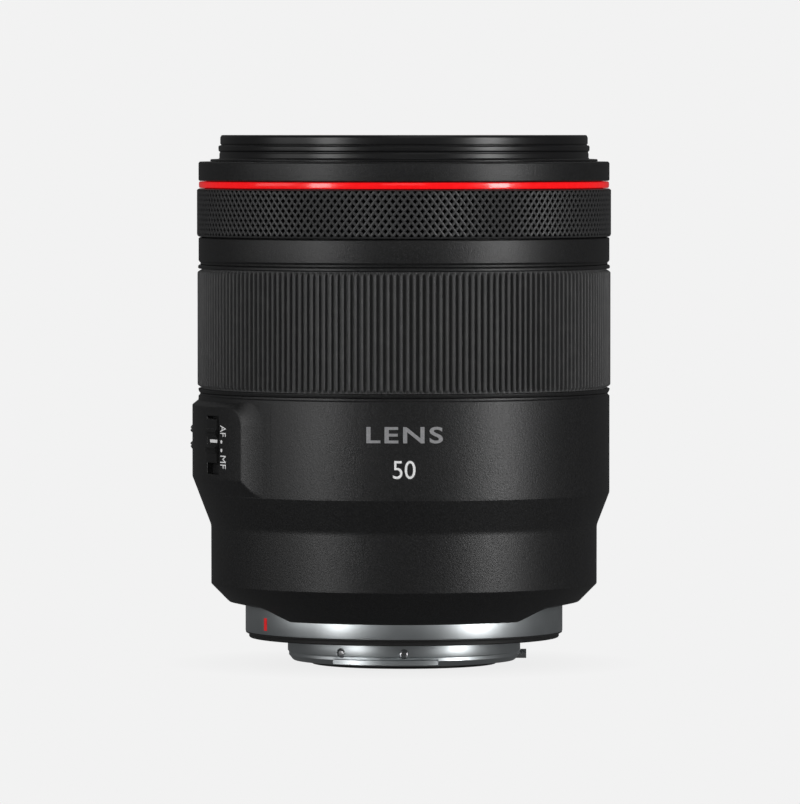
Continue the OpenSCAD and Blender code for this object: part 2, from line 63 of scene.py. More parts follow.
# ---------------------------------------------------------------- materials
class Mat:
    """A Principled material whose detail comes from procedural nodes in object space."""

    def __init__(self, name):
        self.m = bpy.data.materials.new(name)
        self.m.use_nodes = True
        self.t = self.m.node_tree
        self.t.nodes.clear()
        self.out = self.t.nodes.new("ShaderNodeOutputMaterial")
        self.b = self.t.nodes.new("ShaderNodeBsdfPrincipled")
        self.t.links.new(self.b.outputs["BSDF"], self.out.inputs["Surface"])
        self.co = self.t.nodes.new("ShaderNodeTexCoord").outputs["Object"]

    def put(self, socket, value):
        if isinstance(value, bpy.types.NodeSocket):
            self.t.links.new(value, socket)
        else:
            socket.default_value = value

    def base(self, **kw):
        names = {"color": "Base Color", "rough": "Roughness", "metal": "Metallic",
                 "spec": "Specular IOR Level", "coat": "Coat Weight", "coat_rough": "Coat Roughness",
                 "normal": "Normal", "trans": "Transmission Weight", "ior": "IOR",
                 "aniso": "Anisotropic", "tint": "Specular Tint", "alpha": "Alpha",
                 "sheen": "Sheen Weight", "sheen_rough": "Sheen Roughness"}
        for k, v in kw.items():
            self.put(self.b.inputs[names[k]], v)
        return self

    def math(self, op, a, b=0.0, clamp=False):
        n = self.t.nodes.new("ShaderNodeMath")
        n.operation = op
        n.use_clamp = clamp
        self.put(n.inputs[0], a)
        self.put(n.inputs[1], b)
        return n.outputs[0]

    def scaled(self, x, y, z, vec=None):
        n = self.t.nodes.new("ShaderNodeMapping")
        self.put(n.inputs["Vector"], self.co if vec is None else vec)
        n.inputs["Scale"].default_value = (x, y, z)
        return n.outputs[0]

    def noise(self, scale, detail=2.0, rough=0.5, vec=None, distortion=0.0):
        n = self.t.nodes.new("ShaderNodeTexNoise")
        self.put(n.inputs["Vector"], self.co if vec is None else vec)
        n.inputs["Scale"].default_value = scale
        n.inputs["Detail"].default_value = detail
        n.inputs["Roughness"].default_value = rough
        n.inputs["Distortion"].default_value = distortion
        return n.outputs["Fac"]

    def voronoi(self, scale, vec=None):
        n = self.t.nodes.new("ShaderNodeTexVoronoi")
        self.put(n.inputs["Vector"], self.co if vec is None else vec)
        n.inputs["Scale"].default_value = scale
        return n.outputs["Distance"]

    def ramp(self, fac, stops):
        n = self.t.nodes.new("ShaderNodeValToRGB")
        self.put(n.inputs["Fac"], fac)
        e = n.color_ramp.elements
        while len(e) < len(stops):
            e.new(0.5)
        for el, (p, c) in zip(e, stops):
            el.position = p
            el.color = (c[0], c[1], c[2], 1.0) if not isinstance(c, float) else (c, c, c, 1.0)
        return n.outputs["Color"]

    def span(self, fac, lo, hi, a=0.0, b=1.0):
        n = self.t.nodes.new("ShaderNodeMapRange")
        self.put(n.inputs["Value"], fac)
        for key, v in (("From Min", a), ("From Max", b), ("To Min", lo), ("To Max", hi)):
            n.inputs[key].default_value = v
        return n.outputs["Result"]

    def mix(self, fac, a, b):
        n = self.t.nodes.new("ShaderNodeMix")
        n.data_type = "RGBA"
        self.put(n.inputs[0], fac)
        self.put(n.inputs[6], a if isinstance(a, bpy.types.NodeSocket) else (*a, 1.0))
        self.put(n.inputs[7], b if isinstance(b, bpy.types.NodeSocket) else (*b, 1.0))
        return n.outputs[2]

    def edge(self, radius=0.00025):
        """1 on worn outer edges, from the pointiness of a bevelled normal."""
        bev = self.t.nodes.new("ShaderNodeBevel")
        bev.samples = 4
        bev.inputs["Radius"].default_value = radius
        geo = self.t.nodes.new("ShaderNodeNewGeometry")
        dot = self.t.nodes.new("ShaderNodeVectorMath")
        dot.operation = "DOT_PRODUCT"
        self.put(dot.inputs[0], bev.outputs[0])
        self.put(dot.inputs[1], geo.outputs["Normal"])
        return self.span(dot.outputs["Value"], 1.0, 0.0, 0.80, 0.995)

    def bump(self, height, distance, strength=1.0, normal=None):
        n = self.t.nodes.new("ShaderNodeBump")
        n.inputs["Strength"].default_value = strength
        n.inputs["Distance"].default_value = distance
        self.put(n.inputs["Height"], height)
        if normal is not None:
            self.put(n.inputs["Normal"], normal)
        self.put(self.b.inputs["Normal"], n.outputs["Normal"])
        return n.outputs["Normal"]


def painted(name, lo, hi, rough, grain=3600.0, depth=1.6e-5, fleck=0.35, coat=0.0):
    """Satin powder-like paint: a fine grain in height, colour and gloss, with pale flecks."""
    m = Mat(name)
    g = m.noise(grain, 3.0, 0.65)
    f = m.noise(grain * 1.9, 1.0, 0.5)
    broad = m.noise(45.0, 2.0, 0.5)
    c = m.ramp(g, [(0.33, lo), (0.70, hi)])
    flecks = m.ramp(f, [(0.60, 0.0), (0.74, 1.0)])
    c = m.mix(m.math("MULTIPLY", flecks, fleck), c, tuple(min(1.0, v * 3.4) for v in hi))
    r = m.math("ADD", m.span(broad, rough - 0.03, rough + 0.03), m.span(g, -0.05, 0.05))
    m.base(color=c, rough=r, spec=0.5, coat=coat)
    m.bump(m.math("ADD", g, m.math("MULTIPLY", f, 0.5)), depth)
    return m.m


def turned_metal(name, color, rough, lines=26000.0, depth=2.0e-6, aniso=0.4):
    """Metal with fine turning marks round the optical axis."""
    m = Mat(name)
    ring = m.noise(1.0, 3.0, 0.6, vec=m.scaled(60.0, 60.0, lines))
    blot = m.noise(160.0, 3.0, 0.5)
    c = m.mix(m.span(blot, 0.0, 1.0, 0.3, 0.7), tuple(v * 0.93 for v in color), color)
    r = m.math("ADD", m.span(ring, rough - 0.06, rough + 0.06), m.span(blot, -0.03, 0.03))
    m.base(color=c, rough=r, metal=1.0, aniso=aniso)
    m.bump(ring, depth)
    return m.m


def plain_metal(name, color, rough):
    m = Mat(name)
    g = m.noise(2600.0, 3.0, 0.6)
    blot = m.noise(240.0, 2.0, 0.5)
    c = m.mix(m.span(blot, 0.0, 1.0, 0.3, 0.7), tuple(v * 0.88 for v in color), color)
    m.base(color=c, rough=m.span(g, rough - 0.06, rough + 0.08), metal=1.0)
    m.bump(g, 1.5e-6)
    return m.m


def rubber(name, lo, hi, rough=0.62, grain=5200.0):
    m = Mat(name)
    g = m.noise(grain, 3.0, 0.7)
    dust = m.noise(320.0, 4.0, 0.6)
    c = m.mix(m.span(dust, 0.0, 0.35, 0.5, 0.85), m.ramp(g, [(0.3, lo), (0.7, hi)]),
              tuple(v * 1.9 for v in hi))
    m.base(color=c, rough=m.span(g, rough - 0.07, rough + 0.07), spec=0.38, sheen=0.05,
           sheen_rough=0.5)
    m.bump(g, 9.0e-6)
    return m.m


def moulded(name, lo, hi, rough=0.45, grain=2600.0):
    m = Mat(name)
    g = m.voronoi(grain)
    n = m.noise(grain * 1.7, 2.0, 0.6)
    m.base(color=m.ramp(n, [(0.3, lo), (0.7, hi)]), rough=m.span(n, rough - 0.05, rough + 0.06), spec=0.45)
    m.bump(g, 8.0e-6)
    return m.m


def lacquer(name, lo, hi, rough=0.16, painted_glow=0.0):
    m = Mat(name)
    n = m.noise(900.0, 3.0, 0.6)
    c = m.ramp(n, [(0.3, lo), (0.7, hi)])
    m.base(color=c, rough=m.span(n, rough - 0.03, rough + 0.05), spec=0.5, coat=0.6, coat_rough=0.08)
    # painted glow: emission in the lacquer's own colour makes it brighter than the lamps light it, though the part is
    # no lamp
    if painted_glow:
        m.put(m.b.inputs["Emission Color"], c)
        m.b.inputs["Emission Strength"].default_value = painted_glow
    m.bump(n, 1.5e-6)
    return m.m


def ink(name, lo, hi, rough=0.5):
    m = Mat(name)
    n = m.noise(2400.0, 3.0, 0.6)
    m.base(color=m.ramp(n, [(0.3, lo), (0.7, hi)]), rough=m.span(n, rough - 0.08, rough + 0.08), spec=0.4)
    m.bump(n, 3.0e-6)
    return m.m


def coated_glass(name, tint, body=(0.94, 0.98, 0.97)):
    m = Mat(name)
    n = m.noise(120.0, 2.0, 0.5)
    dust = m.noise(5200.0, 2.0, 0.5)
    m.base(color=(*body, 1.0), rough=m.span(dust, 0.0, 0.035, 0.68, 0.8), trans=1.0, ior=1.52, spec=0.5,
           tint=m.mix(n, tuple(v * 0.8 for v in tint), tint))
    return m.m


def knurl_material():
    """Satin paint on the raised net; the pits, chosen by the distance from the axis, get a near-black colour and little
    specular as painted shade.
    """
    m = Mat("knurl_paint_painted_pit_shade")
    flat = m.scaled(1.0, 1.0, 0.0)
    n = m.t.nodes.new("ShaderNodeVectorMath")
    n.operation = "LENGTH"
    m.put(n.inputs[0], flat)
    up = m.span(n.outputs["Value"], 0.0, 1.0, 0.04432, 0.04478)
    g = m.noise(5200.0, 3.0, 0.6)
    c = m.ramp(g, [(0.3, (0.030, 0.030, 0.031)), (0.7, (0.050, 0.050, 0.051))])
    # painted shade: below the net the colour drops to near black and the specular to 0.05, standing in for the shade
    # deep in the pits
    m.base(color=m.mix(up, (0.0015, 0.0015, 0.0016), c), rough=m.span(g, 0.34, 0.46), spec=m.span(up, 0.05, 0.62))
    m.bump(g, 6e-6)
    return m.m


BODY = painted("body_paint", (0.0060, 0.0060, 0.0063), (0.018, 0.018, 0.0185), 0.42, grain=2300.0, depth=4.6e-5, fleck=0.40)
RING = painted("ring_paint", (0.008, 0.008, 0.0085), (0.013, 0.013, 0.0135), 0.32, grain=5200.0, depth=4e-6, fleck=0.06)
KNURL = knurl_material()
# The red band gets a painted glow of 0.56 on top of its lit colour.
RED = lacquer("accent_red", (0.86, 0.003, 0.005), (0.95, 0.005, 0.008), 0.20, painted_glow=0.56)
GRIP = rubber("grip_rubber", (0.066, 0.066, 0.0665), (0.090, 0.090, 0.091), 0.50)
KNOB = moulded("switch_plastic", (0.007, 0.007, 0.0073), (0.013, 0.013, 0.0135))
CHROME = turned_metal("mount_metal", (0.63, 0.665, 0.68), 0.36, depth=0.8e-6, aniso=0.2)
SPIGOT = turned_metal("spigot_metal", (0.60, 0.60, 0.595), 0.50, depth=1.0e-6, aniso=0.2)
STEEL = plain_metal("screw_steel", (0.62, 0.62, 0.63), 0.26)
SEAL = rubber("seal_rubber", (0.010, 0.010, 0.010), (0.016, 0.016, 0.016), 0.55)
CONTACT = moulded("contact_plastic", (0.010, 0.010, 0.010), (0.018, 0.018, 0.018), 0.4)
GOLD = plain_metal("contact_gold", (0.90, 0.64, 0.24), 0.2)
BAFFLE = painted("baffle_black", (0.005, 0.005, 0.005), (0.010, 0.010, 0.010), 0.55, grain=4200.0, depth=8e-6, fleck=0.05)
ALLOY = turned_metal("barrel_alloy", (0.62, 0.63, 0.64), 0.28)
DARK_ALLOY = turned_metal("cam_alloy", (0.20, 0.20, 0.21), 0.34)
SPRING = plain_metal("spring_steel", (0.55, 0.55, 0.57), 0.22)
BRASS = plain_metal("roller_brass", (0.76, 0.58, 0.26), 0.24)
BRONZE = turned_metal("stator_bronze", (0.60, 0.42, 0.18), 0.3)
BLADE = turned_metal("blade_black", (0.045, 0.045, 0.048), 0.38, lines=300.0, depth=1e-6)
PIEZO = ink("piezo_ceramic", (0.62, 0.58, 0.48), (0.75, 0.71, 0.60), 0.6)
FLEX = lacquer("flex_amber", (0.45, 0.20, 0.03), (0.62, 0.30, 0.05), 0.3)
# The white marks get a painted glow of 0.28.
WHITE = lacquer("mark_white", (0.74, 0.74, 0.74), (0.86, 0.86, 0.86), 0.5, painted_glow=0.28)
SILVER = ink("mark_silver", (0.34, 0.34, 0.35), (0.46, 0.46, 0.47), 0.38)
# The red index ink gets a painted glow of 0.25.
REDINK = lacquer("mark_red", (0.80, 0.012, 0.014), (0.90, 0.018, 0.02), 0.4, painted_glow=0.25)
GLASS_A = coated_glass("glass_green", (0.30, 0.85, 0.55))
GLASS_B = coated_glass("glass_violet", (0.70, 0.40, 0.95))
GLASS_C = coated_glass("glass_amber", (0.95, 0.62, 0.30))


def board_material():
    m = Mat("board_green")
    n = m.noise(420.0, 4.0, 0.7)
    tracks = m.t.nodes.new("ShaderNodeTexBrick")
    m.put(tracks.inputs["Vector"], m.co)
    tracks.inputs["Scale"].default_value = 420.0
    tracks.inputs["Mortar Size"].default_value = 0.03
    tracks.inputs["Color1"].default_value = (0.010, 0.110, 0.050, 1)
    tracks.inputs["Color2"].default_value = (0.014, 0.140, 0.066, 1)
    tracks.inputs["Mortar"].default_value = (0.030, 0.210, 0.100, 1)
    m.base(color=m.mix(m.span(n, 0.0, 0.5, 0.4, 0.7), tracks.outputs["Color"], (0.012, 0.09, 0.05)),
           rough=0.35, coat=0.3)
    m.bump(tracks.outputs["Fac"], 1.2e-5)
    return m.m


BOARD = board_material()


# ---------------------------------------------------------------- meshes
def make(name, verts, faces, body, mat, replaces=(), smooth=30.0):
    """An object from vertices in millimetres, closed and with outward normals."""
    me = bpy.data.meshes.new(name)
    me.from_pydata((np.asarray(verts, float) * 0.001).tolist(), [], faces)
    bm = bmesh.new()
    bm.from_mesh(me)
    bmesh.ops.remove_doubles(bm, verts=bm.verts[:], dist=1e-7)
    bmesh.ops.dissolve_degenerate(bm, edges=bm.edges[:], dist=1e-7)
    bmesh.ops.recalc_face_normals(bm, faces=bm.faces[:])
    bm.to_mesh(me)
    bm.free()
    me.polygons.foreach_set("use_smooth", [True] * len(me.polygons))
    me.set_sharp_from_angle(angle=math.radians(smooth))
    me.materials.append(mat)
    ob = bpy.data.objects.new(name, me)
    bpy.context.scene.collection.objects.link(ob)
    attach(ob, body)
    if replaces:
        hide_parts(*replaces)
    return ob


def fil(points, seg=3):
    """A closed outline of (r, z, radius) with its corners rounded."""
    out = []
    n = len(points)
    for i, p in enumerate(points):
        P = np.array(p[:2], float)
        rad = p[2] if len(p) > 2 else 0.0
        if rad <= 0:
            out.append(P)
            continue
        A, B = np.array(points[i - 1][:2], float), np.array(points[(i + 1) % n][:2], float)
        u, v = A - P, B - P
        lu, lv = np.linalg.norm(u), np.linalg.norm(v)
        u, v = u / lu, v / lv
        ang = math.acos(max(-1, min(1, float(u @ v))))
        if ang > math.pi - 1e-3:
            out.append(P)
            continue
        t = min(rad / math.tan(ang / 2), 0.46 * lu, 0.46 * lv)
        r = t * math.tan(ang / 2)
        bis = (u + v) / np.linalg.norm(u + v)
        C = P + bis * (r / math.sin(ang / 2))
        a0, a1 = P + u * t - C, P + v * t - C
        om = math.pi - ang
        for k in range(seg + 1):
            s = k / seg
            out.append(C + (math.sin((1 - s) * om) * a0 + math.sin(s * om) * a1) / math.sin(om))
    return np.array(out)


def ring_grid(profile, n):
    """Closed ring: the same outline at n angles, or profile(theta) at each."""
    th = np.arange(n) * TAU / n
    P = np.array([profile(t) for t in th]) if callable(profile) else np.repeat(np.array(profile)[None], n, 0)
    m = P.shape[1]
    V = np.empty((n, m, 3))
    V[..., 0] = P[..., 0] * np.sin(th)[:, None]
    V[..., 1] = -P[..., 0] * np.cos(th)[:, None]
    V[..., 2] = P[..., 1]
    idx = np.arange(n * m).reshape(n, m)
    b = np.roll(idx, -1, 0)
    F = np.stack([idx, b, np.roll(b, -1, 1), np.roll(idx, -1, 1)], -1).reshape(-1, 4)
    return V.reshape(-1, 3), F.tolist()


def lathe(name, outline, body, mat, replaces=(), n=256, smooth=30.0):
    V, F = ring_grid(outline, n)
    return make(name, V, F, body, mat, replaces, smooth)


def arc_solid(outline, t0, t1, n):
    """Part of a ring between two angles in degrees, with end caps."""
    th = np.radians(np.linspace(t0, t1, n))
    P = np.array(outline)
    m = len(P)
    V = np.empty((n, m, 3))
    V[..., 0] = P[None, :, 0] * np.sin(th)[:, None]
    V[..., 1] = -P[None, :, 0] * np.cos(th)[:, None]
    V[..., 2] = P[None, :, 1]
    idx = np.arange(n * m).reshape(n, m)
    a, b = idx[:-1], idx[1:]
    F = np.stack([a, b, np.roll(b, -1, 1), np.roll(a, -1, 1)], -1).reshape(-1, 4).tolist()
    F.append(idx[0].tolist())
    F.append(idx[-1][::-1].tolist())
    return V.reshape(-1, 3), F


def cut(ob, cutters):
    """Applies boolean cuts to a Blender-made piece."""
    for c in cutters:
        mod = ob.modifiers.new("cut", "BOOLEAN")
        mod.operation = "DIFFERENCE"
        mod.solver = "EXACT"
        mod.object = c
    dg = bpy.context.evaluated_depsgraph_get()
    me = bpy.data.meshes.new_from_object(ob.evaluated_get(dg))
    old = ob.data
    ob.modifiers.clear()
    ob.data = me
    bpy.data.meshes.remove(old)
    for c in cutters:
        bpy.data.objects.remove(c)
    me.polygons.foreach_set("use_smooth", [True] * len(me.polygons))
    me.set_sharp_from_angle(angle=math.radians(30))
    return ob


def cylinder_tool(centre, direction, radius, length, seg=40):
    """A closed cylinder used as a cutter, in millimetres."""
    d = Vector(direction).normalized()
    q = d.to_track_quat("Z", "Y")
    bm = bmesh.new()
    bmesh.ops.create_cone(bm, cap_ends=True, segments=seg, radius1=radius * 0.001,
                          radius2=radius * 0.001, depth=length * 0.001)
    me = bpy.data.meshes.new("tool")
    bm.to_mesh(me)
    bm.free()
    ob = bpy.data.objects.new("tool", me)
    bpy.context.scene.collection.objects.link(ob)
    ob.rotation_mode = "QUATERNION"
    ob.rotation_quaternion = q
    ob.location = Vector(centre) * 0.001
    bpy.context.view_layer.update()
    return ob


def at(th, r, z):
    return (r * math.sin(math.radians(th)), -r * math.cos(math.radians(th)), z)


# ---------------------------------------------------------------- front ring
threads = []
for k in range(5):
    z = 107.55 - 0.75 * k
    threads += [(38.10, z), (38.48, z - 0.30), (38.48, z - 0.40), (38.10, z - 0.70)]
lathe("filter_ring", fil([
    (37.62, 99.56), (39.53, 99.56), (39.53, 102.32), (42.0, 102.32, 0.06),
    (42.0, 102.60, 0.08), (41.82, 102.78, 0.06), (40.20, 102.84, 0.12), (40.03, 103.08, 0.10),
    (40.03, 103.95, 0.14), (39.92, 104.20, 0.10), (39.92, 104.32, 0.10), (40.22, 104.64, 0.16),
    (40.25, 105.48, 0.16), (40.05, 105.72, 0.08),
    (39.66, 105.80, 0.04), (39.66, 105.94, 0.04), (39.74, 105.98, 0.03), (39.84, 106.10, 0.08),
    (39.84, 107.45, 0.30), (39.62, 107.90, 0.16), (39.35, 108.0, 0.10), (38.42, 108.0, 0.10), (38.10, 107.70, 0.05)])
    .tolist() + threads + [(38.10, 104.02), (37.62, 103.62)],
    "barrel", RING, ["front_ring"], n=320)

lathe("front_band", fil([
    (39.92, 90.02), (41.08, 90.02), (41.08, 98.07), (44.33, 98.07, 0.08), (44.56, 98.30, 0.12),
    (44.56, 101.93, 0.14), (44.28, 102.25, 0.12), (39.62, 102.25), (39.62, 99.52), (37.62, 99.52),
    (37.62, 97.02), (39.92, 97.02)]), "barrel", BODY, ["front_barrel"], n=320)

lathe("accent_band", fil([
    (42.87, 96.56), (44.26, 96.56, 0.10), (44.44, 96.72, 0.14), (44.49, 97.25, 0.6), (44.44, 97.78, 0.14),
    (44.26, 97.94, 0.10), (42.87, 97.94)], 4), "barrel", RED, ["accent_ring"], n=320)


# ---------------------------------------------------------------- knurled ring
def knurled_ring():
    """A raised net with diamond pits in staggered rows."""
    cols, rows, h, z0 = 360, 10, 1.055, 86.56
    deep, rim, top = 44.22, 44.82, 44.90
    V, F = [], []

    def vert(c, r, z):
        a = TAU * c / cols
        V.append((r * math.sin(a), -r * math.cos(a), z))
        return len(V) - 1

    zs = {j: z0 + j * h for j in range(rows)}
    zs[-1], zs[rows] = 86.10, 96.30
    node = {}
    for j in range(-1, rows + 1):
        for c in range(cols):
            if (c + j) % 2 == 1 or (j == -1 and c % 2 == 0) or (j == rows and (c + rows) % 2 == 1):
                node[c, j] = vert(c, top if 0 <= j < rows else 44.66, zs[j])
    for j in range(rows):
        for c in range(cols):
            if (c + j) % 2:
                continue
            z, up, dn = zs[j], zs[j + 1] - zs[j], zs[j] - zs[j - 1]
            up, dn = min(up, h), min(dn, h)

            def diamond(w, k, r):
                return [vert(c - w, r, z), vert(c, r, z + k * up), vert(c + w, r, z), vert(c, r, z - k * dn)]

            edge, floor_ = diamond(0.70, 0.56, rim), diamond(0.42, 0.28, deep)
            outer = [node[(c - 1) % cols, j], node[c, j + 1], node[(c + 1) % cols, j], node[c, j - 1]]
            F.append(floor_)
            for k in range(4):
                m = (k + 1) % 4
                F.append([floor_[k], floor_[m], edge[m], edge[k]])
                F.append([edge[k], edge[m], outer[m], outer[k]])
    for c in range(0, cols, 2):
        F.append([node[c, -1], node[(c + 2) % cols, -1], node[(c + 1) % cols, 0]])
    for c in range(1, cols, 2):
        F.append([node[c, rows], node[(c + 2) % cols, rows], node[(c + 1) % cols, rows - 1]])
    loops = [[node[c, -1] for c in range(0, cols, 2)]]
    for r, z, k in ((44.40, 86.00, 0), (42.86, 86.00, 0), (42.86, 96.42, 1), (44.40, 96.42, 1)):
        loops.append([vert(c + k, r, z) for c in range(0, cols, 2)])
    loops.append([node[c, rows] for c in range(1, cols, 2)])
    n = cols // 2
    for a, b in zip(loops, loops[1:]):
        for i in range(n):
            F.append([a[i], a[(i + 1) % n], b[(i + 1) % n], b[i]])
    return V, F


V, F = knurled_ring()
make("knurled_ring", V, F, "control", KNURL, ["control_ring"], smooth=12.0)

lathe("mid_band", fil([
    (40.92, 50.02), (42.28, 50.02), (42.28, 80.04), (44.16, 80.04, 0.05), (44.16, 80.50, 0.05), (44.32, 80.52, 0.05),
    (44.56, 80.90, 0.14),
    (44.56, 85.62, 0.12), (44.32, 85.84, 0.08), (42.78, 85.84), (42.78, 98.0), (41.22, 98.0),
    (41.22, 84.0), (40.92, 83.7)]), "barrel", BODY, ["mid_barrel"], n=320)

# ---------------------------------------------------------------- focus ring
lathe("focus_sleeve", fil([
    (42.37, 52.26), (44.30, 52.26, 0.08), (44.46, 52.42, 0.10), (44.66, 53.02, 0.10), (44.45, 53.16, 0.05),
    (43.60, 53.16), (43.60, 79.08), (44.45, 79.08, 0.05), (44.66, 79.22, 0.10), (44.66, 79.68, 0.14),
    (44.36, 79.94, 0.10), (42.37, 79.94)]), "focus", BODY, ["focus_ring"], n=320)


def ribbed_grip():
    ribs = 200
    # one rib: offset along the pitch, height share
    one = [(0.00, 0.0), (0.21, 0.0), (0.28, 0.10), (0.35, 0.52), (0.405, 0.84), (0.475, 0.97), (0.57, 1.0),
           (0.665, 0.97), (0.735, 0.84), (0.79, 0.52), (0.86, 0.10)]
    ang, g = [], []
    for k in range(ribs):
        for o, v in one:
            ang.append(TAU * (k + o) / ribs)
            g.append(v)
    ang, g = np.array(ang), np.array(g)
    low, top, inner = 43.92, 44.80, 43.62
    zs = [53.22, 53.22, 53.40, 53.58, 53.86, 54.10, 66.1, 78.15, 78.39, 78.67, 78.85, 79.03, 79.03]
    e = [None, 0.0, 0.05, 0.45, 0.90, 1.0, 1.0, 1.0, 0.90, 0.45, 0.05, 0.0, None]
    rows = []
    for z, s in zip(zs, e):
        r = np.full_like(ang, inner) if s is None else low + (top - low) * g * s
        rows.append(np.stack([r * np.sin(ang), -r * np.cos(ang), np.full_like(ang, z)], -1))
    V = np.array(rows)
    m, n = V.shape[:2]
    idx = np.arange(m * n).reshape(m, n)
    b = np.roll(idx, -1, 0)
    F = np.stack([idx, np.roll(idx, -1, 1), np.roll(b, -1, 1), b], -1).reshape(-1, 4)
    return V.reshape(-1, 3), F.tolist()


V, F = ribbed_grip()
make("ribbed_grip", V, F, "focus", GRIP, ["focus_grip"], smooth=40.0)

# ---------------------------------------------------------------- rear barrel
CONE = 2.73 / 7.05


def soft_step(x, a, b):
    t = min(1.0, max(0.0, (x - a) / (b - a)))
    return t


def rear_profile(t):
    """The lower edge is a chin at the front and the back, and steps up at the sides."""
    s = abs(math.sin(t))

    def cut_z(r):
        return 3.70 + 2.48 * soft_step(r * s, 24.3, 30.2)

    # point of the chin line where the underside meets it
    side = soft_step(34.5 * s, 24.3, 30.2)
    lo, hi = 0.0, 1.0
    A, B = np.array([38.0, 6.95]), np.array([34.58, 3.70])
    for _ in range(26):
        mid = (lo + hi) / 2
        p = A + (B - A) * mid
        if p[1] >= cut_z(p[0]) + 0.26 * side * (p[0] - 34.5):
            lo = mid
        else:
            hi = mid
    p = A + (B - A) * lo
    return fil([
        (25.52, 6.87), (34.52, 6.87), (34.52, cut_z(34.52), 0.0), (p[0], p[1], 0.12),
        (38.0 if p[0] < 37.7 else p[0] + 0.35, 6.95 if p[0] < 37.7 else p[1] + 0.3, 0.0), (41.85, 10.8, 0.35), (41.87, 23.5, 3.4), (44.58, 30.55, 0.22),
        (44.6, 31.4, 0.0), (44.6, 51.48, 0.12), (44.40, 51.73, 0.06), (44.24, 51.75, 0.03), (44.24, 52.18, 0.03), (42.37, 52.18), (42.37, 50.2), (42.78, 50.2),
        (42.78, 30.9), (41.98, 30.9), (40.08, 24.0), (40.08, 19.93), (37.62, 19.93), (37.62, 18.02),
        (39.98, 18.02), (39.98, 12.0), (37.5, 9.48), (25.52, 9.48)], 4)


rear = lathe("rear_shell", rear_profile, "barrel", BODY, ["rear_barrel"], n=720)


# ---------------------------------------------------------------- switch panel
PANEL_R, BASE_R = 45.93, 44.62
MODE_TH, LIMIT_TH = -63.5, -97.5
SLOTS = [(MODE_TH - 3.6, MODE_TH + 3.6), (LIMIT_TH - 3.6, LIMIT_TH + 3.6)]
SLOT_Z = (35.25, 47.75)


def panel_height(th, z):
    """Height of the raised panel over the barrel, in millimetres, with soft flanks."""
    full = PANEL_R - 44.6
    u = math.radians(th + 81.35) * 45.3
    half, top, rc = math.radians(32.05) * 45.3, 49.62, 3.8
    du = max(abs(u) - (half - rc), 0.0)
    dz = max(z - (top - rc), 0.0)
    rho, phi = math.hypot(du, dz), math.atan2(dz, du if du > 0 else 1e-9)
    w = 7.2 * math.cos(phi) ** 2 + 1.05 * math.sin(phi) ** 2
    d = min(1.0, max(0.0, (rho - rc) / w))
    p = 2.5 * math.cos(phi) ** 2 + 1.0 * math.sin(phi) ** 2
    h = full * (1.0 - d) ** p
    hc = CONE * (z - 30.65)
    # smooth minimum keeps the crease slightly rounded
    k = 0.10
    m = min(h, hc)
    diff = abs(h - hc)
    if diff < k:
        m -= (k - diff) ** 2 / (4 * k)
    return max(0.035, m)


def panel_mesh():
    edge = 0.10
    th = set(np.round(np.linspace(-123.2, -39.4, 340), 3))
    zz = set(np.round(np.linspace(30.72, 50.85, 110), 3))
    for a, b in SLOTS:
        th = {t for t in th if min(abs(t - a), abs(t - b)) > 0.30}
        th |= {a, b, a - 0.10, b + 0.10, a - 0.22, b + 0.22}
    zz = {z for z in zz if min(abs(z - SLOT_Z[0]), abs(z - SLOT_Z[1])) > 0.22}
    zz |= {SLOT_Z[0], SLOT_Z[1], SLOT_Z[0] - 0.08, SLOT_Z[1] + 0.08, SLOT_Z[0] - 0.18, SLOT_Z[1] + 0.18}
    th, zz = sorted(th), sorted(zz)
    nt, nz = len(th), len(zz)
    V = []
    for t in th:
        for z in zz:
            h = panel_height(t, z)
            for a, b in SLOTS:
                # lower the rim of a slot a little, so that it is rounded
                out_t = max(a - t, t - b, 0.0) * 0.79
                out_z = max(SLOT_Z[0] - z, z - SLOT_Z[1], 0.0)
                d = math.hypot(out_t, out_z)
                if d < 0.16:
                    h -= 0.10 * (1 - d / 0.16) ** 2
            a = math.radians(t)
            V.append(((44.6 + h) * math.sin(a), -(44.6 + h) * math.cos(a), z))
    for t in th:
        for z in zz:
            a = math.radians(t)
            V.append((BASE_R * math.sin(a), -BASE_R * math.cos(a), z))
    off = nt * nz

    def on(i, j):
        if not (0 <= i < nt - 1 and 0 <= j < nz - 1):
            return False
        tc, zc = (th[i] + th[i + 1]) / 2, (zz[j] + zz[j + 1]) / 2
        for a, b in SLOTS:
            if a < tc < b and SLOT_Z[0] < zc < SLOT_Z[1]:
                return False
        return True

    F = []
    for i in range(nt - 1):
        for j in range(nz - 1):
            if not on(i, j):
                continue
            q = [i * nz + j, (i + 1) * nz + j, (i + 1) * nz + j + 1, i * nz + j + 1]
            F.append(q)
            F.append([v + off for v in reversed(q)])
            for (di, dj), (a, b) in {(-1, 0): (3, 0), (1, 0): (1, 2), (0, -1): (0, 1), (0, 1): (2, 3)}.items():
                if not on(i + di, j + dj):
                    F.append([q[a], q[b], q[b] + off, q[a] + off][::-1])
    used = sorted({v for f in F for v in f})
    remap = {v: k for k, v in enumerate(used)}
    return [V[v] for v in used], [[remap[v] for v in f] for f in F]


V, F = panel_mesh()
make("side_panel", V, F, "barrel", BODY, ["switch_panel"], smooth=38.0)


